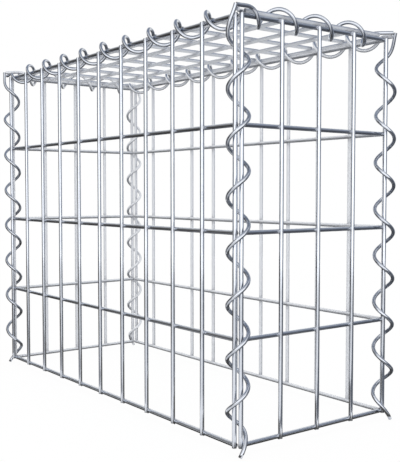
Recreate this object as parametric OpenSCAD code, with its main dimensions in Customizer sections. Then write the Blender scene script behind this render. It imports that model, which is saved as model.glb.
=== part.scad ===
// Gabion basket of welded wire mesh: two long sides, two ends and a lid, laced together by spiral
// binders. The bottom is open, so that one basket stacks on another and the stones interlock.

/* [Mesh] */
// Distance between neighbouring uprights
mesh_width = 50; // [40:5:75]
// Distance between neighbouring horizontal bars of the sides
mesh_height = 100; // [80:10:150]
// Cells along the front and the back
front_cells = 10; // [4:1:20]
// Cells along an end
end_cells = 4; // [2:1:8]
// Cells up a side
side_rows = 4; // [2:1:8]

/* [Mesh wire] */
// Diameter of the mesh wire
wire_d = 4.5; // [3:0.5:5]
// Share of the wire diameter by which two welded wires are pressed into each other
weld_share = 0.3; // [0.15:0.05:0.35]
// Upright left standing below the axis of the lowest bar
upright_drop = 1.5; // [1:0.5:5]
// Upright left standing above the axis of the highest bar
upright_rise = 1; // [0.5:0.5:3]
// Gap between the bars of two sides where they meet at a corner
corner_clearance = 0.3; // [0.2:0.1:1]

/* [Lid] */
// Cross wire left standing past the lid's long edge wires
lid_overhang = 2; // [1:0.5:3]

/* [Spiral binders] */
// Diameter of the spiral wire
coil_wire_d = 4; // [2.5:0.5:5]
// Radius of the spiral, measured to the middle of its wire
coil_r = 10.25; // [9:0.25:12]
// Gap between a wire and the wire or spiral that it bears on
seat_clearance = 0.3; // [0.1:0.1:0.5]
// Height of the long lid spirals above the wires that they join
coil_lift = 1; // [0:0.5:2]
// Drop of the corner spirals' feet below the uprights
foot_drop = 7.5; // [5:0.5:12]
// Distance of a foot from the axis of its spiral, outward
foot_reach = 8.5; // [8:0.5:10]
// Distance of a foot from the axis of its spiral, sideways
foot_offset = 3; // [2.5:0.5:4]
// Rise of the spirals' tips above the uprights
tip_rise = 6.5; // [5:0.5:10]
// Distance of a tip from the axis of the corner spiral, outward
tip_reach = 10; // [9:0.5:13]
// Distance of a tip from the axis of the corner spiral, sideways
tip_offset = 1.5; // [0:0.5:3]
// Gap between the tips of two spirals at a corner
tip_clearance = 0.3; // [0.2:0.1:1]

/* [Hidden] */

// Sides of a mesh wire, sides of a spiral wire, steps round one turn and steps in a bent end
wire_sides = 8;
coil_sides = 8;
coil_steps = 12;
bend_steps = 8;

mesh_colour = [0.74, 0.77, 0.81];
coil_colour = [0.62, 0.65, 0.70];

// Shares of a turn: how far a corner or long spiral is screwed on, and how far an end spiral stays inside
corner_lead_share = -0.12;
long_lead_share = -0.04;
end_inset_share = 0.06;
// Share of a weld's depth by which a bar stops short of the corner upright's axis
bar_trim_share = 1;
// Shares of the distance at which a foot passes its upright that the bend's two handles take
foot_handle_shares = [2.1, 1.45];
// Shares of a tip's span that its two handles take, in the order of the wire
tip_handle_shares = [0.4, 0.4];
low_tip_handle_shares = [0.28, 0.4];
// Shares by which a foot and a tip lean sideways and outward for each unit of height
foot_lean_shares = [0.55, -0.35];
tip_lean_shares = [0.3, 0.2];
// Shares of the straight slope from tip to spiral that a lid spiral's first and last tip take
long_slope_shares = [1, 1];
end_slope_shares = [0.3, 0];

half_length = mesh_width * front_cells / 2;
half_depth = mesh_width * end_cells / 2;
side_height = mesh_height * side_rows;

// Places across the thickness of the sides, measured outward from the nominal corner
weld_depth = wire_d * weld_share;
weld_pitch = wire_d - weld_depth;
bar_trim = weld_depth * bar_trim_share;
upright_offset = weld_pitch + wire_d / 2 + corner_clearance - bar_trim;
bar_offset = upright_offset - weld_pitch;

// Heights: the feet stand on zero, and the lid's end wires lie on the highest bars of the ends
bottom_bar_z = upright_drop + foot_drop;
top_bar_z = bottom_bar_z + side_height;
upright_top_z = top_bar_z + upright_rise;
lid_cross_z = top_bar_z + sqrt(pow(wire_d + seat_clearance, 2) - pow(bar_offset, 2));
lid_long_z = lid_cross_z - weld_pitch;

// A long edge wire of the lid and the bar beside it are held apart by the bore of the spiral round them
coil_bore_r = coil_r * cos(180 / coil_steps) - coil_wire_d / 2;
seat_r = coil_bore_r - wire_d / 2 - seat_clearance;
long_axis_z = (top_bar_z + lid_long_z) / 2 + coil_lift;
long_axis_y = -half_depth - bar_offset + sqrt(pow(seat_r, 2) - pow(long_axis_z - top_bar_z, 2));
long_start_x = -half_length + mesh_width * (long_lead_share + 1 / 4);
lid_half_depth = -long_axis_y - sqrt(pow(seat_r, 2) - pow(long_axis_z - lid_long_z, 2));

// A short lid spiral bears on the highest bar of its end
end_axis_z = (top_bar_z + lid_cross_z) / 2;
end_axis_x = half_length + bar_offset - sqrt(pow(seat_r, 2) - pow(end_axis_z - top_bar_z, 2));
end_inset = mesh_width * end_inset_share;
end_pitch = 2 * (half_depth - end_inset) / end_cells;
end_start_y = -half_depth + end_inset + end_pitch / 4;

// Directions at the front right corner
along = [1, 0, 0];
inward = [0, 1, 0];
up = [0, 0, 1];
corner_out = (along - inward) / sqrt(2);
corner_side = (along + inward) / sqrt(2);

// A corner spiral runs round two uprights, with two turns to a row of mesh
corner_axis = [half_length + upright_offset / 2, -half_depth - upright_offset / 2, 0];
corner_pitch = mesh_height / 2;
corner_start = corner_axis + up * (bottom_bar_z + corner_pitch * (corner_lead_share + 1 / 4));
corner_coil = [corner_start, up, corner_side, -corner_out, corner_pitch];

// The foot of a corner spiral, with the lowest point of its cut end on the ground
foot_heading = unit(up + corner_side * foot_lean_shares[0] + corner_out * foot_lean_shares[1]);
foot_plan = corner_axis + corner_out * foot_reach + corner_side * foot_offset;
foot_lift = -min([for (q = wire_ring(corner_coil, foot_plan, foot_heading)) q[2]]);
foot_pass = upright_offset / sqrt(2) + (wire_d + coil_wire_d) / 2 + seat_clearance;

// The tips of the three spirals of a corner meet: the short lid spiral's behind the corner spiral's,
// and the long lid spiral's below that
tip_spacing = coil_wire_d + tip_clearance;
tip_plan = corner_axis + corner_out * tip_reach - corner_side * tip_offset;
corner_tip = tip_plan + up * (upright_top_z + tip_rise);
end_tip = corner_tip - corner_out * tip_spacing;
long_tip = end_tip - up * tip_spacing + corner_side * tip_offset;

function unit(v) = v / norm(v);
function sloped(v, slope_share) = unit([v[0], v[1], v[2] * slope_share]);
function bent(p, t) =
    pow(1 - t, 3) * p[0] + 3 * t * pow(1 - t, 2) * p[1] + 3 * t * t * (1 - t) * p[2] + pow(t, 3) * p[3];

// A spiral is [start of its axis, axis, direction to its first point, direction a quarter turn on, pitch]
function coil_point(c, turn) =
    c[0] + c[1] * c[4] * turn + coil_r * (cos(360 * turn) * c[2] + sin(360 * turn) * c[3]);
function coil_heading(c, turn) =
    unit(c[1] * c[4] + 2 * PI * coil_r * (cos(360 * turn) * c[3] - sin(360 * turn) * c[2]));
function coil_end(c, turn) = [coil_point(c, turn), coil_heading(c, turn)];

// Points along a bend between two ends, each given as [place, heading]
function bend(from, to, handles) =
    let (corners = [from[0], from[0] + from[1] * handles[0], to[0] - to[1] * handles[1], to[0]])
    [for (i = [0:bend_steps]) bent(corners, i / bend_steps)];

// Centre line of a spiral: bend from its first end, turns, bend to its last end
function coil_path(c, turns, first, last) =
    let (
        first_step = round(turns[0] * coil_steps),
        last_step = round(turns[1] * coil_steps)
    )
    concat(
        bend(first, coil_end(c, turns[0]), first[2]),
        [for (i = [first_step + 1:last_step - 1]) coil_point(c, i / coil_steps)],
        bend(coil_end(c, turns[1]), last, last[2])
    );

function path_heading(path, i, first, last) =
    i == 0 ? first[1]
    : i == len(path) - 1 ? last[1]
    : unit(path[i + 1] - path[i - 1]);

// Ring of points round one place of the centre line, turned to face away from the axis
function wire_ring(c, place, heading) =
    let (
        from_axis = place - c[0] - c[1] * ((place - c[0]) * c[1]),
        outward = unit(from_axis - heading * (from_axis * heading)),
        across = cross(heading, outward)
    )
    [for (j = [0:coil_sides - 1])
        let (a = 360 * j / coil_sides)
        place + coil_wire_d / 2 * (cos(a) * outward + sin(a) * across)];

// One round wire wound to a spiral, with both ends bent out of it
module coil(c, turns, first, last) {
    path = coil_path(c, turns, first, last);
    ring_count = len(path);
    points = [for (i = [0:ring_count - 1])
        each wire_ring(c, path[i], path_heading(path, i, first, last))];
    sides = [for (i = [0:ring_count - 2], j = [0:coil_sides - 1])
        let (
            k = (j + 1) % coil_sides,
            a = i * coil_sides,
            b = a + coil_sides
        )
        each [[a + j, b + j, b + k], [a + j, b + k, a + k]]];
    first_cap = [for (j = [0:coil_sides - 1]) j];
    last_cap = [for (j = [coil_sides - 1:-1:0]) (ring_count - 1) * coil_sides + j];
    color(coil_colour)
        polyhedron(points, concat(sides, [first_cap, last_cap]));
}

// Straight wire from its middle, along one axis
module wire(length, direction) {
    turn = direction == "x" ? [0, 90, 0] : direction == "y" ? [90, 0, 0] : [0, 0, 0];
    rotate(turn)
        rotate([0, 0, 180 / wire_sides])
            cylinder(d = wire_d, h = length, center = true, $fn = wire_sides);
}

// One welded side in the plane y = 0: bars at the back, uprights at the front
module side_panel(cells) {
    half_width = mesh_width * cells / 2;
    upright_length = side_height + upright_rise + upright_drop;
    color(mesh_colour) {
        for (i = [0:cells])
            translate([i * mesh_width - half_width, -weld_pitch, upright_top_z - upright_length / 2])
                wire(upright_length, "z");
        for (i = [0:side_rows])
            translate([0, 0, bottom_bar_z + i * mesh_height])
                wire(2 * (half_width - bar_trim), "x");
    }
}

module front_panel() {
    translate([0, -half_depth - bar_offset, 0])
        side_panel(front_cells);
}

module back_panel() {
    rotate([0, 0, 180])
        front_panel();
}

module right_end_panel() {
    translate([half_length + bar_offset, 0, 0])
        rotate([0, 0, 90])
            side_panel(end_cells);
}

module left_end_panel() {
    rotate([0, 0, 180])
        right_end_panel();
}

// Lid: long wires below, cross wires welded on top of them
module lid_panel() {
    long_step = 2 * lid_half_depth / end_cells;
    color(mesh_colour) {
        for (i = [0:end_cells])
            translate([0, i * long_step - lid_half_depth, lid_long_z])
                wire(2 * (half_length - bar_trim), "x");
        for (i = [0:front_cells])
            translate([i * mesh_width - half_length, 0, lid_cross_z])
                wire(2 * (lid_half_depth + lid_overhang), "y");
    }
}

// Corner spiral: a foot that hugs one upright, turns round both uprights, a tip that rises outward
module front_right_corner_spiral() {
    turns = [1 / 4, 2 * side_rows - 1 / 2];
    tip_heading = unit(up + corner_side * tip_lean_shares[0] + corner_out * tip_lean_shares[1]);
    foot = [foot_plan + up * foot_lift, foot_heading, foot_pass * foot_handle_shares];
    tip_span = norm(corner_tip - coil_point(corner_coil, turns[1]));
    tip = [corner_tip, tip_heading, tip_span * tip_handle_shares];
    coil(corner_coil, turns, foot, tip);
}

module front_left_corner_spiral() {
    mirror(along)
        front_right_corner_spiral();
}

module back_right_corner_spiral() {
    mirror(inward)
        front_right_corner_spiral();
}

module back_left_corner_spiral() {
    rotate([0, 0, 180])
        front_right_corner_spiral();
}

// Spiral along a lid edge, from the tips at one corner to the tips at the next
module lid_spiral(c, cells, first_tip, last_tip, slope_shares, last_handle_shares) {
    turns = [0, cells - 1 / 2];
    first_span = coil_point(c, turns[0]) - first_tip;
    last_span = last_tip - coil_point(c, turns[1]);
    first = [first_tip, sloped(first_span, slope_shares[0]), norm(first_span) * tip_handle_shares];
    last = [last_tip, sloped(last_span, slope_shares[1]), norm(last_span) * last_handle_shares];
    coil(c, turns, first, last);
}

module front_lid_spiral() {
    c = [[long_start_x, long_axis_y, long_axis_z], along, -inward, -up, mesh_width];
    first_tip = [-long_tip[0], long_tip[1], long_tip[2]];
    lid_spiral(c, front_cells, first_tip, long_tip, long_slope_shares, tip_handle_shares);
}

module back_lid_spiral() {
    rotate([0, 0, 180])
        front_lid_spiral();
}

module right_lid_spiral() {
    c = [[end_axis_x, end_start_y, end_axis_z], inward, along, -up, end_pitch];
    last_tip = [end_tip[0], -end_tip[1], end_tip[2]];
    lid_spiral(c, end_cells, end_tip, last_tip, end_slope_shares, low_tip_handle_shares);
}

module left_lid_spiral() {
    rotate([0, 0, 180])
        right_lid_spiral();
}

front_panel();
back_panel();
left_end_panel();
right_end_panel();
lid_panel();
front_left_corner_spiral();
front_right_corner_spiral();
back_left_corner_spiral();
back_right_corner_spiral();
front_lid_spiral();
back_lid_spiral();
left_lid_spiral();
right_lid_spiral();
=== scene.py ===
import math

import bpy
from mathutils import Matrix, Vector


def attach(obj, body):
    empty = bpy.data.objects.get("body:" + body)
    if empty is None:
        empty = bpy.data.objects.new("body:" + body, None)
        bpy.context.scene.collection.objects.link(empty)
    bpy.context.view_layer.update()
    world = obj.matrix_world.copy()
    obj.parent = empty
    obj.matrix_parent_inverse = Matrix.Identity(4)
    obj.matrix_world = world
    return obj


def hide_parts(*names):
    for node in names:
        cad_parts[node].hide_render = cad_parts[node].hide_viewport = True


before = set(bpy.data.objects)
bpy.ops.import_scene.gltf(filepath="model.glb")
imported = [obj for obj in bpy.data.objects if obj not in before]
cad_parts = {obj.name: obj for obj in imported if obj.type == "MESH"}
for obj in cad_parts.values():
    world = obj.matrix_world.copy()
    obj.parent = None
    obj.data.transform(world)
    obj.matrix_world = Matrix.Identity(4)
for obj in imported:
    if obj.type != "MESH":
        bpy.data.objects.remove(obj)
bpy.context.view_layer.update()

# Front and back: the two long sides of the basket, each one sheet of welded mesh.
# Drawn steel wire, resistance-welded bar on upright, dipped in zinc afterwards and cut to length.
# They stand on edge, uprights outside and bars inside, and the corner spirals hold them to the ends.
mm = 0.001
wire_radius = 2.21 * mm
weld_pitch = 3.15 * mm
cell_width, cell_height = 50.0 * mm, 100.0 * mm
bottom_bar = 9.0 * mm
upright_low, upright_high = 7.5 * mm, 410.0 * mm
long_bar = 497.3 * mm
long_side_place = 101.2 * mm


def wired(tree, kind, sockets=None, **settings):
    """Adds a node, sets it up, and fills its sockets with values or joins them to other sockets."""
    made = tree.nodes.new(kind)
    for name, value in settings.items():
        setattr(made, name, value)
    for key, value in (sockets or {}).items():
        if isinstance(value, bpy.types.NodeSocket):
            tree.links.new(value, made.inputs[key])
        else:
            made.inputs[key].default_value = value
    return made


def new_tree(name, inputs):
    """A geometry tree with these named inputs, and the sockets that give them."""
    tree = bpy.data.node_groups.new(name, "GeometryNodeTree")
    for label, kind in inputs:
        tree.interface.new_socket(name=label, in_out="INPUT", socket_type="NodeSocket" + kind)
    tree.interface.new_socket(name="Geometry", in_out="OUTPUT", socket_type="NodeSocketGeometry")
    return tree, tree.nodes.new("NodeGroupInput").outputs


def made_of(tree, name, values):
    """One piece from a geometry tree: the tree runs once, and its result is kept as a plain mesh."""
    piece = bpy.data.objects.new(name, bpy.data.meshes.new(name))
    bpy.context.scene.collection.objects.link(piece)
    modifier = piece.modifiers.new(tree.name, "NODES")
    modifier.node_group = tree
    for item in tree.interface.items_tree:
        if item.in_out == "INPUT":
            modifier[item.identifier] = values[item.name]
    piece.update_tag()
    depsgraph = bpy.context.evaluated_depsgraph_get()
    mesh = bpy.data.meshes.new_from_object(
        piece.evaluated_get(depsgraph), preserve_all_data_layers=True, depsgraph=depsgraph)
    piece.modifiers.clear()
    piece.data = mesh
    mesh.name = name
    return piece


def maths(tree, operation, first, second=0.0, third=0.0, clamp=False):
    """One step of reckoning with numbers or sockets."""
    sockets = {0: first, 1: second, 2: third}
    return wired(tree, "ShaderNodeMath", sockets, operation=operation, use_clamp=clamp).outputs[0]


def ranged(tree, value, start, end, first=0.0, last=1.0, **settings):
    """Turns a value that runs from start to end into one that runs from first to last."""
    sockets = {"Value": value, "From Min": start, "From Max": end, "To Min": first, "To Max": last}
    return wired(tree, "ShaderNodeMapRange", sockets, **settings).outputs[0]


def offset(tree, **sides):
    """A vector from the sides that are given."""
    return wired(tree, "ShaderNodeCombineXYZ", sides).outputs[0]


def sides_of(tree, kind):
    """The X, Y and Z of each point's Normal or Position."""
    vector = wired(tree, "GeometryNodeInput" + kind).outputs[0]
    return wired(tree, "ShaderNodeSeparateXYZ", {0: vector}).outputs


def marked(tree, wire, mark, value):
    """Keeps a value at each point of a wire, for the zinc to read."""
    return wired(tree, "GeometryNodeStoreNamedAttribute",
                 {"Geometry": wire, "Name": mark, "Value": value},
                 data_type="FLOAT", domain="POINT").outputs[0]


def round_section(tree, line, radius, sides, underside):
    """Gives a line its round section, worn at both cut ends, and marks the ends and the underside, which
    gets painted shade.
    """
    end_wear = 0.2
    more_than_four = 4.5
    cut = wired(tree, "GeometryNodeCurveEndpointSelection").outputs[0]
    line = marked(tree, line, "cut_end", cut)
    thickness = maths(tree, "MULTIPLY_ADD", cut, -end_wear, 1.0)
    line = wired(tree, "GeometryNodeSetCurveRadius", {"Curve": line, "Radius": thickness}).outputs[0]
    ring = wired(tree, "GeometryNodeCurvePrimitiveCircle",
                 {"Resolution": sides, "Radius": radius}).outputs[0]
    tube = wired(tree, "GeometryNodeCurveToMesh",
                 {"Curve": line, "Profile Curve": ring, "Fill Caps": True}).outputs[0]
    # Painted shade: the underside is marked here, for the zinc to darken it.
    height = sides_of(tree, "Normal")["Z"]
    shaded_below = ranged(tree, height, *underside, interpolation_type="SMOOTHSTEP")
    tube = marked(tree, tube, "painted_underside_shade", shaded_below)
    # Only the caps have more than four corners, and they stay flat.
    corners = wired(tree, "GeometryNodeInputMeshFaceNeighbors").outputs["Vertex Count"]
    rounded = maths(tree, "LESS_THAN", corners, more_than_four)
    return wired(tree, "GeometryNodeSetShadeSmooth",
                 {"Geometry": tube, "Shade Smooth": rounded}).outputs[0]


def straight_wire(tree, low, high, radius, direction):
    """A round wire with its two sheared ends, as long as the distance from low to high."""
    # The underside that gets painted shade begins where the normal leans 0.4 up and is full at 0.35 down.
    sides, underside = 12, (0.4, -0.35)
    ring_spacing, end_rings, end_step = 3.0 * mm, 4.0, 0.5 * mm
    span = maths(tree, "SUBTRACT", high, low)
    ring_count = maths(tree, "ADD", maths(tree, "DIVIDE", span, ring_spacing), end_rings)
    rings = wired(tree, "FunctionNodeFloatToInt", {0: ring_count}).outputs[0]
    line = wired(tree, "GeometryNodeCurvePrimitiveLine").outputs[0]
    line = wired(tree, "GeometryNodeResampleCurve", {"Curve": line, "Count": rings}).outputs[0]
    index = wired(tree, "GeometryNodeInputIndex").outputs[0]
    last_but_one = maths(tree, "SUBTRACT", rings, 2.0)
    place = ranged(tree, index, 1.0, last_but_one, maths(tree, "ADD", low, end_step),
                   maths(tree, "SUBTRACT", high, end_step), clamp=False)
    place = wired(tree, "ShaderNodeClamp", {"Value": place, "Min": low, "Max": high}).outputs[0]
    spot = offset(tree, **{direction: place})
    line = wired(tree, "GeometryNodeSetPosition", {"Geometry": line, "Position": spot}).outputs[0]
    return round_section(tree, line, radius, sides, underside)


welded_mesh, size = new_tree("Welded mesh panel", [
    ("Uprights", "Int"), ("Upright Spacing", "Float"),
    ("Upright Low End", "Float"), ("Upright High End", "Float"),
    ("Bars", "Int"), ("Bar Spacing", "Float"), ("Lowest Bar", "Float"), ("Bar Length", "Float"),
    ("Wire Radius", "Float"), ("Weld Pitch", "Float"), ("Matt Painted Light", "Float"),
    ("Turn", "Vector"), ("Place", "Vector"), ("Finish", "Material")])

# Every wire is straight and round; the uprights lie in front of the bars by the pitch of the weld.
# Only the level bars get painted shade on their undersides, so its mark comes off the uprights.
upright = straight_wire(welded_mesh, size["Upright Low End"], size["Upright High End"],
                        size["Wire Radius"], "Z")
upright = wired(welded_mesh, "GeometryNodeRemoveAttribute",
                {"Geometry": upright, "Name": "painted_underside_shade"}).outputs[0]
half_bar = maths(welded_mesh, "DIVIDE", size["Bar Length"], 2.0)
bar_start = maths(welded_mesh, "MULTIPLY", half_bar, -1.0)
bar = straight_wire(welded_mesh, bar_start, half_bar, size["Wire Radius"], "X")
gaps_across = maths(welded_mesh, "SUBTRACT", size["Uprights"], 1.0)
width = maths(welded_mesh, "MULTIPLY", gaps_across, size["Upright Spacing"])
left_edge = maths(welded_mesh, "MULTIPLY", width, -0.5)
front = maths(welded_mesh, "MULTIPLY", size["Weld Pitch"], -1.0)
row = wired(welded_mesh, "GeometryNodeMeshLine", {
    "Count": size["Uprights"], "Start Location": offset(welded_mesh, X=left_edge, Y=front),
    "Offset": offset(welded_mesh, X=size["Upright Spacing"])}).outputs[0]
column = wired(welded_mesh, "GeometryNodeMeshLine", {
    "Count": size["Bars"], "Start Location": offset(welded_mesh, Z=size["Lowest Bar"]),
    "Offset": offset(welded_mesh, Z=size["Bar Spacing"])}).outputs[0]
uprights = wired(welded_mesh, "GeometryNodeInstanceOnPoints",
                 {"Points": row, "Instance": upright}).outputs[0]
bars = wired(welded_mesh, "GeometryNodeInstanceOnPoints",
             {"Points": column, "Instance": bar}).outputs[0]

# At each crossing the wires are pressed into each other, and a thin flash squeezes out between them.
# It is smaller along the edge of a sheet, where the bars end.
flash_least, flash_most, flash_seed = (1.2, 0.36, 1.2), (1.42, 0.5, 1.42), 7
edge_zone, edge_loss = 0.49, 0.32
gaps_up = maths(welded_mesh, "SUBTRACT", size["Bars"], 1.0)
height = maths(welded_mesh, "MULTIPLY", gaps_up, size["Bar Spacing"])
grid = wired(welded_mesh, "GeometryNodeMeshGrid", {
    "Size X": width, "Size Y": height,
    "Vertices X": size["Uprights"], "Vertices Y": size["Bars"]}).outputs[0]
grid_middle = maths(welded_mesh, "MULTIPLY_ADD", height, 0.5, size["Lowest Bar"])
weld_depth = maths(welded_mesh, "MULTIPLY", front, 0.5)
crossings = wired(welded_mesh, "GeometryNodeTransform", {
    "Geometry": grid, "Rotation": (math.pi / 2, 0.0, 0.0),
    "Translation": offset(welded_mesh, Y=weld_depth, Z=grid_middle)}).outputs[0]
flash = wired(welded_mesh, "GeometryNodeMeshUVSphere",
              {"Segments": 9, "Rings": 5, "Radius": 1.0}).outputs[0]
flash = wired(welded_mesh, "GeometryNodeSetShadeSmooth", {"Geometry": flash}).outputs[0]
flash_reach = wired(welded_mesh, "FunctionNodeRandomValue",
                    {"Min": flash_least, "Max": flash_most, "Seed": flash_seed},
                    data_type="FLOAT_VECTOR").outputs[0]
from_middle = maths(welded_mesh, "ABSOLUTE", sides_of(welded_mesh, "Position")["X"])
edge_start = maths(welded_mesh, "MULTIPLY", width, edge_zone)
at_edge = maths(welded_mesh, "GREATER_THAN", from_middle, edge_start)
flash_share = maths(welded_mesh, "MULTIPLY_ADD", at_edge, -edge_loss, 1.0)
flash_unit = maths(welded_mesh, "MULTIPLY", size["Wire Radius"], flash_share)
flash_size = wired(welded_mesh, "ShaderNodeVectorMath", {0: flash_reach, "Scale": flash_unit},
                   operation="SCALE").outputs[0]
welds = wired(welded_mesh, "GeometryNodeInstanceOnPoints",
              {"Points": crossings, "Instance": flash, "Scale": flash_size}).outputs[0]
gathered = wired(welded_mesh, "GeometryNodeJoinGeometry")
for group in (uprights, bars, welds):
    welded_mesh.links.new(group, gathered.inputs[0])
panel = wired(welded_mesh, "GeometryNodeRealizeInstances", {"Geometry": gathered.outputs[0]}).outputs[0]

# The zinc is duller round a weld, so each point of the mesh learns how near the next weld is.
# A pale coat, rougher and less metallic, can lie on the inner side of a sheet, which is its own +Y side;
# its pale colour is painted light.
heat_core, heat_reach = 2.0 * mm, 7.5 * mm
coat_start, coat_full = -0.4, 0.2
nearest = wired(welded_mesh, "GeometryNodeProximity", {0: crossings},
                target_element="POINTS").outputs["Distance"]
heat = ranged(welded_mesh, nearest, heat_core, heat_reach, 1.0, 0.0, interpolation_type="SMOOTHSTEP")
painted_light_share = ranged(welded_mesh, sides_of(welded_mesh, "Normal")["Y"], coat_start, coat_full,
               0.0, size["Matt Painted Light"], interpolation_type="SMOOTHSTEP")
panel = marked(welded_mesh, panel, "weld_heat", heat)
panel = marked(welded_mesh, panel, "pale_coat_painted_light", painted_light_share)
panel = wired(welded_mesh, "GeometryNodeTransform",
              {"Geometry": panel, "Rotation": size["Turn"], "Translation": size["Place"]}).outputs[0]
panel = wired(welded_mesh, "GeometryNodeSetMaterial",
              {"Geometry": panel, "Material": size["Finish"]}).outputs[0]
wired(welded_mesh, "NodeGroupOutput", {0: panel})


def blended(tree, share, under, over):
    """One colour laid over another by a share."""
    return wired(tree, "ShaderNodeMix", {"Factor": share, "A": under, "B": over},
                 data_type="RGBA").outputs["Result"]


def zinc_coat(name, bright, dull, smoothest, roughest, painted_shade_below):
    """Hot-dip zinc on wire: clouds of brighter and duller metal, with small crystals in it.
    Undersides are darkened with painted shade, welds and cut ends are dull, and a pale coat of painted
    light is rougher and less metallic."""
    # The pale coat's white is painted light; undersides lose most of the coat, which keeps them darker as
    # painted shade.
    painted_light_white, coat_roughness, coat_lost_below = (0.85, 0.855, 0.87, 1.0), 0.5, 0.7
    weld_grey, weld_cover, weld_roughness = (0.36, 0.36, 0.38, 1.0), 0.35, 0.12
    cut_grey, cut_cover, cut_roughness = (0.34, 0.34, 0.35, 1.0), 0.5, 0.2
    cloud_span, cloud_weight = (0.36, 0.64), 0.85
    crystal_shades, crystal_weight = (0.97, 1.02), 0.15
    gloss_span = (0.2, 0.8)
    finish = bpy.data.materials.new(name)
    finish.use_nodes = True
    tree = finish.node_tree
    shader = tree.nodes["Principled BSDF"]
    spot = tree.nodes.new("ShaderNodeTexCoord").outputs["Object"]
    clouds = wired(tree, "ShaderNodeTexNoise",
                   {"Vector": spot, "Scale": 45.0, "Detail": 4.0, "Roughness": 0.6}).outputs["Fac"]
    crystals = wired(tree, "ShaderNodeTexVoronoi", {"Vector": spot, "Scale": 520.0}).outputs["Color"]
    crystal = wired(tree, "ShaderNodeSeparateColor", {"Color": crystals}).outputs[0]
    runs = wired(tree, "ShaderNodeTexNoise",
                 {"Vector": spot, "Scale": 260.0, "Detail": 3.0, "Roughness": 0.55}).outputs["Fac"]
    heated, cut, painted_shade, matt_painted_light = [wired(tree, "ShaderNodeAttribute", attribute_name=mark).outputs["Fac"]
                               for mark in ("weld_heat", "cut_end", "painted_underside_shade", "pale_coat_painted_light")]
    # Painted shade: undersides keep less of the pale coat, so they stay darker.
    above = maths(tree, "MULTIPLY_ADD", painted_shade, -coat_lost_below, 1.0)
    matt_painted_light = maths(tree, "MULTIPLY", matt_painted_light, above)

    metal = blended(tree, ranged(tree, clouds, *cloud_span), (*dull, 1.0), (*bright, 1.0))
    shade = ranged(tree, crystal, 0.0, 1.0, *crystal_shades)
    # Painted shade: the colour of the undersides is darkened.
    shade = maths(tree, "MULTIPLY", shade, maths(tree, "MULTIPLY_ADD", painted_shade, painted_shade_below - 1.0, 1.0))
    metal = wired(tree, "ShaderNodeVectorMath", {0: metal, "Scale": shade}, operation="SCALE").outputs[0]
    # Painted light: the pale coat lays its white over the metal.
    metal = blended(tree, matt_painted_light, metal, painted_light_white)
    metal = blended(tree, maths(tree, "MULTIPLY", heated, weld_cover), metal, weld_grey)
    metal = blended(tree, maths(tree, "MULTIPLY", cut, cut_cover), metal, cut_grey)
    tree.links.new(metal, shader.inputs["Base Color"])
    tree.links.new(maths(tree, "SUBTRACT", 1.0, matt_painted_light), shader.inputs["Metallic"])

    gloss = maths(tree, "MULTIPLY", clouds, cloud_weight)
    gloss = maths(tree, "MULTIPLY_ADD", crystal, crystal_weight, gloss)
    rough = ranged(tree, gloss, *gloss_span, roughest, smoothest)
    rough = maths(tree, "MULTIPLY_ADD", matt_painted_light, coat_roughness, rough)
    rough = maths(tree, "MULTIPLY_ADD", heated, weld_roughness, rough)
    rough = maths(tree, "MULTIPLY_ADD", cut, cut_roughness, rough)
    tree.links.new(rough, shader.inputs["Roughness"])
    bump = wired(tree, "ShaderNodeBump",
                 {"Height": runs, "Strength": 0.05, "Distance": 0.15 * mm}).outputs[0]
    tree.links.new(bump, shader.inputs["Normal"])
    return finish


# The mesh wire's undersides are darkened to half by painted shade.
mesh_zinc = zinc_coat("Galvanised mesh wire", bright=(0.73, 0.765, 0.83), dull=(0.66, 0.695, 0.76),
                      smoothest=0.08, roughest=0.13, painted_shade_below=0.5)
long_side = {"Uprights": 11, "Upright Spacing": cell_width,
             "Upright Low End": upright_low, "Upright High End": upright_high,
             "Bars": 5, "Bar Spacing": cell_height, "Lowest Bar": bottom_bar, "Bar Length": long_bar,
             "Wire Radius": wire_radius, "Weld Pitch": weld_pitch, "Finish": mesh_zinc}
# Painted light: the back panel's inner side gets the pale coat.
for name, turn, place, matt_painted_light in (("front_panel", 0.0, -long_side_place, 0.0),
                                ("back_panel", math.pi, long_side_place, 0.85)):
    side = made_of(welded_mesh, "mesh_" + name, {
        **long_side, "Matt Painted Light": matt_painted_light, "Turn": (0.0, 0.0, turn), "Place": (0.0, place, 0.0)})
    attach(side, "root")
    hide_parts(name)

# Left and right ends: the two short sides, cut from the same welded mesh, four cells wide.
# Their corner uprights stand beside those of the long sides, so that one spiral takes in both.
end_bar = 197.3 * mm
end_place = 251.2 * mm
end_side = {**long_side, "Uprights": 5, "Bar Length": end_bar}
# Painted light: the left end's inner side gets the pale coat.
for name, turn, place, matt_painted_light in (("right_end_panel", math.pi / 2, end_place, 0.0),
                                ("left_end_panel", -math.pi / 2, -end_place, 0.8)):
    side = made_of(welded_mesh, "mesh_" + name, {
        **end_side, "Matt Painted Light": matt_painted_light, "Turn": (0.0, 0.0, turn), "Place": (place, 0.0, 0.0)})
    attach(side, "root")
    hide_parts(name)

# Lid: a sheet of the same wire laid flat, long wires below and cross wires welded on top of them.
# Its end wires lie on the top bars of the two ends, and spirals along all four edges lace it down.
lid_reach = 90.798 * mm
lid_overhang = 2.0 * mm
lid_height = 410.498 * mm
# Painted light: the lid's inner side gets the pale coat.
lid = made_of(welded_mesh, "mesh_lid_panel", {
    **long_side, "Upright Low End": -lid_reach - lid_overhang, "Upright High End": lid_reach + lid_overhang,
    "Lowest Bar": -lid_reach, "Bar Spacing": lid_reach / 2.0, "Matt Painted Light": 0.7,
    "Turn": (-math.pi / 2, 0.0, math.pi), "Place": (0.0, 0.0, lid_height)})
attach(lid, "root")
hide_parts("lid_panel")

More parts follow.
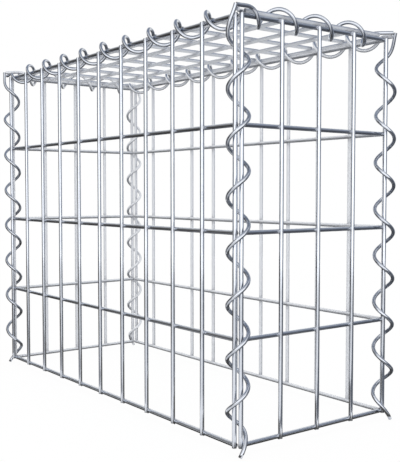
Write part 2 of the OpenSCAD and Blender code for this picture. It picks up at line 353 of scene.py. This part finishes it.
# Corner spirals: one spring-hard wire at each corner, wound to a spiral and screwed in from above.
# Each takes in the two corner uprights; its foot hugs the end's upright and stands on the ground.
# The tip is bent up and outward, beside the tips of the two lid spirals that meet there.
# The spiral's underside, which gets painted shade, begins where the normal points 0.15 down and is full at
# 0.85 down.
spiral_wire, spiral_sides, spiral_underside = 1.965 * mm, 14, (-0.15, -0.85)
steps_per_turn, bend_step_count, worn_step = 40, 26, 0.7
spiral, shape = new_tree("Spiral binder", [
    ("First End", "Vector"), ("First Handle", "Vector"),
    ("Coil Start Handle", "Vector"), ("Coil Start", "Vector"),
    ("Coil End", "Vector"), ("Coil End Handle", "Vector"),
    ("Last Handle", "Vector"), ("Last End", "Vector"),
    ("Axis Start", "Vector"), ("Rise per Turn", "Vector"),
    ("Radius", "Vector"), ("Quarter Radius", "Vector"),
    ("First Turn", "Float"), ("Last Turn", "Float"), ("Coil Steps", "Int"), ("Bend Steps", "Int"),
    ("Wire Radius", "Float"), ("Matt Painted Light", "Float"), ("Inside", "Vector"), ("Finish", "Material")])


def vectors(operation, first, second):
    """The sum, difference or multiple of vectors in the spiral's tree."""
    key = "Scale" if operation == "SCALE" else 1
    return wired(spiral, "ShaderNodeVectorMath", {0: first, key: second}, operation=operation).outputs[0]


def bent(share, corners):
    """A smooth bend led by four corner points: the same share of the way between them, again and again."""
    while len(corners) > 1:
        corners = [wired(spiral, "ShaderNodeMix", {"Factor": share, "A": a, "B": b},
                         data_type="VECTOR").outputs["Result"] for a, b in zip(corners, corners[1:])]
    return corners[0]


# The wire's middle line, point by point: a bend from the first end, the turns, a bend to the last end.
# The first and the last step are short, for the worn edges of the cuts.
step = wired(spiral, "GeometryNodeInputIndex").outputs[0]
bend_steps, coil_steps = shape["Bend Steps"], shape["Coil Steps"]
short_bend = maths(spiral, "SUBTRACT", bend_steps, worn_step)
before = maths(spiral, "DIVIDE", maths(spiral, "SUBTRACT", step, worn_step), short_bend, clamp=True)
past_bend = maths(spiral, "SUBTRACT", step, bend_steps)
in_coil = maths(spiral, "DIVIDE", past_bend, coil_steps, clamp=True)
past_coil = maths(spiral, "SUBTRACT", past_bend, coil_steps)
after = maths(spiral, "DIVIDE", past_coil, short_bend, clamp=True)
turns = ranged(spiral, in_coil, 0.0, 1.0, shape["First Turn"], shape["Last Turn"])
angle = maths(spiral, "MULTIPLY", turns, 2.0 * math.pi)
coil = vectors("ADD", shape["Axis Start"], vectors("SCALE", shape["Rise per Turn"], turns))
coil = vectors("ADD", coil, vectors("SCALE", shape["Radius"], maths(spiral, "COSINE", angle)))
coil = vectors("ADD", coil, vectors("SCALE", shape["Quarter Radius"], maths(spiral, "SINE", angle)))
first_corners = ("First End", "First Handle", "Coil Start Handle", "Coil Start")
first_bend = bent(before, [shape[corner] for corner in first_corners])
last_corners = ("Coil End", "Coil End Handle", "Last Handle", "Last End")
last_bend = bent(after, [shape[corner] for corner in last_corners])
joined = vectors("ADD", vectors("ADD", first_bend, coil), last_bend)
joined = vectors("SUBTRACT", joined, vectors("ADD", shape["Coil Start"], shape["Coil End"]))
point_count = maths(spiral, "ADD", maths(spiral, "MULTIPLY_ADD", bend_steps, 2.0, coil_steps), 1.0)
point_count = wired(spiral, "FunctionNodeFloatToInt", {0: point_count}).outputs[0]
middle = wired(spiral, "GeometryNodeCurvePrimitiveLine").outputs[0]
middle = wired(spiral, "GeometryNodeResampleCurve", {"Curve": middle, "Count": point_count}).outputs[0]
middle = wired(spiral, "GeometryNodeSetPosition", {"Geometry": middle, "Position": joined}).outputs[0]
tube = round_section(spiral, middle, shape["Wire Radius"], spiral_sides, spiral_underside)

# A pale coat of painted light, rougher and less metallic, lies on the side towards the middle of the
# basket.
normal = wired(spiral, "GeometryNodeInputNormal").outputs[0]
inner = wired(spiral, "ShaderNodeVectorMath", {0: normal, 1: shape["Inside"]},
              operation="DOT_PRODUCT").outputs["Value"]
painted_light_share = ranged(spiral, inner, coat_start, coat_full,
               0.0, shape["Matt Painted Light"], interpolation_type="SMOOTHSTEP")
tube = marked(spiral, tube, "pale_coat_painted_light", painted_light_share)
tube = wired(spiral, "GeometryNodeRealizeInstances", {"Geometry": tube}).outputs[0]
tube = wired(spiral, "GeometryNodeSetMaterial",
             {"Geometry": tube, "Material": shape["Finish"]}).outputs[0]
wired(spiral, "NodeGroupOutput", {0: tube})

# The spiral wire's undersides are darkened to 0.6 of their colour by painted shade.
spiral_zinc = zinc_coat("Galvanised spiral wire", bright=(0.64, 0.67, 0.73), dull=(0.55, 0.58, 0.64),
                        smoothest=0.08, roughest=0.14, painted_shade_below=0.6)
along, inward, up = Vector((1.0, 0.0, 0.0)), Vector((0.0, 1.0, 0.0)), Vector((0.0, 0.0, 1.0))
outward, sideways = (along - inward).normalized(), (along + inward).normalized()
basket_middle = up * 0.2


def wound(name, start, rise, radius, quarter, turns, first, last, flips, matt_painted_light):
    """One spiral, worked out for the front or the right and flipped over to its own place."""
    def coil_point(turn):
        swing = 2.0 * math.pi * turn
        return start + rise * turn + radius * math.cos(swing) + quarter * math.sin(swing)

    def coil_heading(turn):
        swing = 2.0 * math.pi * turn
        return (rise + 2.0 * math.pi * (quarter * math.cos(swing) - radius * math.sin(swing))).normalized()

    coil_start, coil_end = coil_point(turns[0]), coil_point(turns[1])
    first_end, first_heading, first_handles = first(coil_start)
    last_end, last_heading, last_handles = last(coil_end)
    places = {
        "First End": first_end, "First Handle": first_end + first_heading * first_handles[0],
        "Coil Start Handle": coil_start - coil_heading(turns[0]) * first_handles[1],
        "Coil Start": coil_start, "Coil End": coil_end,
        "Coil End Handle": coil_end + coil_heading(turns[1]) * last_handles[0],
        "Last Handle": last_end - last_heading * last_handles[1], "Last End": last_end,
        "Axis Start": start, "Rise per Turn": rise, "Radius": radius, "Quarter Radius": quarter,
        "Inside": (basket_middle - start - rise * (turns[0] + turns[1]) / 2.0).normalized()}
    flipped = {label: (v.x * flips[0], v.y * flips[1], v.z) for label, v in places.items()}
    piece = made_of(spiral, "spiral_" + name, {
        **flipped, "First Turn": turns[0], "Last Turn": turns[1],
        "Coil Steps": round((turns[1] - turns[0]) * steps_per_turn), "Bend Steps": bend_step_count,
        "Wire Radius": spiral_wire, "Matt Painted Light": matt_painted_light, "Finish": spiral_zinc})
    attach(piece, "root")
    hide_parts(name)


handle_share = 0.4
corner_radius = 9.86 * mm
corner_axis = Vector((252.175, -102.175, 0.0)) * mm
corner_start = corner_axis + up * 15.5 * mm
corner_foot = corner_axis + (outward * 8.5 + sideways * 3.0 + up * 1.1) * mm
foot_heading = (up + sideways * 0.55 - outward * 0.35).normalized()
foot_handles = (16.014 * mm, 11.058 * mm)
tip_side = 1.5
corner_tip = corner_axis + (outward * 10.0 - sideways * tip_side + up * 416.5) * mm
tip_heading = (up + sideways * 0.3 + outward * 0.2).normalized()


def foot(coil_start):
    """The bend from the ground into the first turn."""
    return corner_foot, foot_heading, foot_handles


def corner_top(coil_end):
    """The bend from the last turn to the tip."""
    handle = handle_share * (corner_tip - coil_end).length
    return corner_tip, tip_heading, (handle, handle)


# Painted light: the back left spiral's inner side gets the pale coat.
for name, flips, matt_painted_light in (("front_right_corner_spiral", (1, 1), 0.0),
                          ("front_left_corner_spiral", (-1, 1), 0.0),
                          ("back_right_corner_spiral", (1, -1), 0.0),
                          ("back_left_corner_spiral", (-1, -1), 0.9)):
    wound(name, start=corner_start, rise=up * cell_height / 2.0,
          radius=sideways * corner_radius, quarter=-outward * corner_radius, turns=(0.25, 7.5),
          first=foot, last=corner_top, flips=flips, matt_painted_light=matt_painted_light)

# Lid spirals: the same wire wound along each edge of the lid, about one turn to a cell.
# They take in the lid's edge wire and the top bar beside it, and end in the corners at the other tips.
lid_radius = 10.25 * mm
tip_spacing, end_pitch = 4.3, 48.5
long_extra, end_extra = 0.7, 1.9
end_tip = corner_tip - outward * tip_spacing * mm
long_tip = end_tip + (sideways * tip_side - up * tip_spacing) * mm
long_start = Vector((-239.5, -96.143, 410.749)) * mm
long_first = Vector((-long_tip.x, long_tip.y, long_tip.z)) - sideways * long_extra * mm
end_start = Vector((246.38, -84.875, 411.324)) * mm
end_last = Vector((end_tip.x, -end_tip.y, end_tip.z)) + sideways * end_extra * mm


def sloped(reach, share):
    """The heading of a reach whose climb is cut to a share."""
    return Vector((reach.x, reach.y, reach.z * share)).normalized()


def lid_start(place, slope):
    """The bend from this tip to the first turn."""
    def first(coil_start):
        reach = coil_start - place
        return place, sloped(reach, slope), (handle_share * reach.length, handle_share * reach.length)
    return first


def lid_finish(place, slope, coil_handle):
    """The bend from the last turn to this tip."""
    def last(coil_end):
        reach = place - coil_end
        return place, sloped(reach, slope), (coil_handle * reach.length, handle_share * reach.length)
    return last


# Painted light: the back lid spiral's inner side gets the pale coat.
for name, flips, matt_painted_light in (("front_lid_spiral", (1, 1), 0.0), ("back_lid_spiral", (-1, -1), 0.8)):
    wound(name, start=long_start, rise=along * cell_width,
          radius=-inward * lid_radius, quarter=-up * lid_radius, turns=(0.0, 9.5),
          first=lid_start(long_first, slope=1.0),
          last=lid_finish(long_tip, slope=1.0, coil_handle=handle_share), flips=flips, matt_painted_light=matt_painted_light)
# Painted light: the left lid spiral's inner side gets the pale coat.
for name, flips, matt_painted_light in (("right_lid_spiral", (1, 1), 0.0), ("left_lid_spiral", (-1, -1), 0.85)):
    wound(name, start=end_start, rise=inward * end_pitch * mm,
          radius=along * lid_radius, quarter=-up * lid_radius, turns=(0.0, 3.5),
          first=lid_start(end_tip, slope=0.3),
          last=lid_finish(end_last, slope=0.0, coil_handle=0.28), flips=flips, matt_painted_light=matt_painted_light)

# Set: a plain pale floor under a white background, which metal mirrors as well.
# To the eye both are white; a small dull share of the floor near the basket keeps its shadow.
scene = bpy.context.scene
scene.view_settings.view_transform = "Standard"


def seen_white(tree):
    """1 for a camera, mirrored or passed ray, and 0 for light that only falls on things."""
    ray = tree.nodes.new("ShaderNodeLightPath").outputs
    seen = maths(tree, "ADD", ray["Is Camera Ray"], ray["Is Glossy Ray"], clamp=True)
    return maths(tree, "ADD", seen, ray["Is Transmission Ray"], clamp=True)


world = bpy.data.worlds.new("White studio")
world.use_nodes = True
scene.world = world
sky = world.node_tree
sky.nodes.clear()
fill = wired(sky, "ShaderNodeBackground", {"Color": (0.95, 0.97, 1.0, 1.0), "Strength": 0.8}).outputs[0]
white = wired(sky, "ShaderNodeBackground", {"Color": (1.0, 1.0, 1.0, 1.0), "Strength": 1.0}).outputs[0]
mixed = wired(sky, "ShaderNodeMixShader", {0: seen_white(sky), 1: fill, 2: white}).outputs[0]
wired(sky, "ShaderNodeOutputWorld", {"Surface": mixed})

floor_half = 8.0
near_reach, far_reach = 0.4, 2.0
near_glow, far_glow = 0.96, 1.0
floor_mesh = bpy.data.meshes.new("floor")
floor_corners = [(x * floor_half, y * floor_half, 0.0)
                 for x, y in ((-1, -1), (1, -1), (1, 1), (-1, 1))]
floor_mesh.from_pydata(floor_corners, [], [(0, 1, 2, 3)])
floor = bpy.data.objects.new("floor", floor_mesh)
scene.collection.objects.link(floor)
paper = bpy.data.materials.new("Pale floor")
paper.use_nodes = True
ground = paper.node_tree
ground.nodes.clear()
dull = wired(ground, "ShaderNodeBsdfDiffuse", {"Color": (0.92, 0.92, 0.92, 1.0)}).outputs[0]
glow = wired(ground, "ShaderNodeEmission", {"Color": (1.0, 1.0, 1.0, 1.0), "Strength": 1.0}).outputs[0]
spot = ground.nodes.new("ShaderNodeTexCoord").outputs["Object"]
reach = wired(ground, "ShaderNodeVectorMath", {0: spot}, operation="LENGTH").outputs["Value"]
share = ranged(ground, reach, near_reach, far_reach, near_glow, far_glow)
share = maths(ground, "MULTIPLY", seen_white(ground), share)
mixed = wired(ground, "ShaderNodeMixShader", {0: share, 1: dull, 2: glow}).outputs[0]
wired(ground, "ShaderNodeOutputMaterial", {"Surface": mixed})
floor_mesh.materials.append(paper)

# Lamps: three tall softboxes in an arc on the camera's side, and a wide one overhead.
# Bare metal mirrors the three; the one overhead lights the floor and the pale coat of painted light.
lamp_distance, lamp_height = 1.5, 0.45


def softbox(name, place, spread, power):
    """A lamp with a wide, soft face, turned to the middle of the basket."""
    lamp = bpy.data.lights.new(name, "AREA")
    lamp.shape = "RECTANGLE"
    lamp.size, lamp.size_y = spread
    lamp.energy = power
    box = bpy.data.objects.new(name, lamp)
    box.location = place
    box.rotation_euler = (basket_middle - Vector(place)).to_track_quat("-Z", "Y").to_euler()
    box.visible_camera = False
    scene.collection.objects.link(box)
    return box


def at_bearing(bearing, distance, height):
    """A place round the basket, by its bearing in degrees from +X."""
    swing = math.radians(bearing)
    return (distance * math.cos(swing), distance * math.sin(swing), height)


for name, bearing in (("left softbox", -60.0), ("middle softbox", -35.0), ("right softbox", -10.0)):
    softbox(name, at_bearing(bearing, lamp_distance, lamp_height), spread=(0.62, 0.9), power=1.2)
softbox("top softbox", (0.0, 0.0, 2.2), spread=(1.4, 1.4), power=18.0).visible_glossy = False

# Cloths: grey cloth round, over and under the basket, which only the metal mirrors.
# They give the wires their dark edges, and those on the right are bluer.
# The side towards the camera and the one opposite stay open and white.
cloth_distance, cloth_split, roof_height, floor_lift = 2.2, 0.9, 2.4, 0.004
blue_high = (0.35, 0.38, 0.445)
dark_floor, near_floor = (0.09, 0.085, 0.077), (0.32, 0.32, 0.33)
middle_floor, blue_floor = (0.13, 0.127, 0.12), (0.15, 0.16, 0.18)


def cloth(name, colour, corners):
    """One flat cloth with an even tone of its own, seen by mirrored rays alone."""
    sheet_mesh = bpy.data.meshes.new(name)
    sheet_mesh.from_pydata(corners, [], [(0, 1, 2, 3)])
    sheet = bpy.data.objects.new(name, sheet_mesh)
    scene.collection.objects.link(sheet)
    dye = bpy.data.materials.new(name)
    dye.use_nodes = True
    tree = dye.node_tree
    tree.nodes.clear()
    tone = wired(tree, "ShaderNodeEmission", {"Color": (*colour, 1.0), "Strength": 1.0}).outputs[0]
    wired(tree, "ShaderNodeOutputMaterial", {"Surface": tone})
    sheet_mesh.materials.append(dye)
    sheet.visible_camera = sheet.visible_diffuse = sheet.visible_shadow = False
    sheet.visible_transmission = sheet.visible_volume_scatter = False


for name, start, end, low, high in (
        ("right cloth", 20.0, 60.0, (0.20, 0.22, 0.265), blue_high),
        ("back right cloth", 60.0, 105.0, (0.27, 0.30, 0.365), blue_high),
        ("back left cloth", 190.0, 228.0, (0.175, 0.172, 0.17), (0.39, 0.385, 0.38)),
        ("left cloth", 228.0, 265.0, (0.135, 0.132, 0.13), (0.37, 0.365, 0.36))):
    for part, colour, bottom, top in (("low", low, 0.0, cloth_split),
                                      ("high", high, cloth_split, roof_height)):
        cloth(name + " " + part, colour, [
            at_bearing(start, cloth_distance, bottom), at_bearing(end, cloth_distance, bottom),
            at_bearing(end, cloth_distance, top), at_bearing(start, cloth_distance, top)])
for name, colour, height, corners in (
        ("roof cloth", (0.33, 0.37, 0.445), roof_height,
         ((-2.2, -1.0), (1.0, -1.0), (1.0, 2.2), (-2.2, 2.2))),
        ("front left floor cloth", dark_floor, floor_lift,
         ((-2.0, -0.155), (-2.0, -2.0), (-0.2, -2.0), (-0.2, -0.155))),
        ("front near floor cloth", near_floor, floor_lift,
         ((-0.2, -0.155), (-0.2, -0.5), (0.12, -0.5), (0.12, -0.155))),
        ("front far floor cloth", dark_floor, floor_lift,
         ((-0.2, -0.5), (-0.2, -2.0), (0.12, -2.0), (0.12, -0.5))),
        ("left floor cloth", dark_floor, floor_lift,
         ((-2.0, -0.155), (-0.28, -0.155), (-0.28, 0.75), (-2.0, 0.75))),
        ("middle floor cloth", middle_floor, floor_lift,
         ((-0.28, -0.12), (0.28, -0.12), (0.28, 0.13), (-0.28, 0.13))),
        ("right floor cloth", blue_floor, floor_lift,
         ((0.30, -0.11), (2.0, 0.05), (2.0, 1.5), (0.30, 1.5))),
        ("back floor cloth", blue_floor, floor_lift,
         ((-0.28, 0.13), (0.30, 0.13), (0.30, 1.5), (-0.28, 1.5)))):
    cloth(name, colour, [(x, y, height) for x, y in corners])

# Camera: a long lens at a little over half the basket's height, before the front right corner.
# It looks slightly down, and sees the lid from below.
look_down, look_round = 2.796, 53.036
lens = bpy.data.cameras.new("camera")
lens.sensor_width = 36.0
lens.lens = 61.19
lens.clip_start, lens.clip_end = 0.01, 100.0
camera = bpy.data.objects.new("camera", lens)
camera.location = (0.8094, -0.5655, 0.2463)
camera.rotation_euler = (math.radians(90.0 - look_down), 0.0, math.radians(look_round))
scene.collection.objects.link(camera)
scene.camera = camera

bpy.context.view_layer.update()
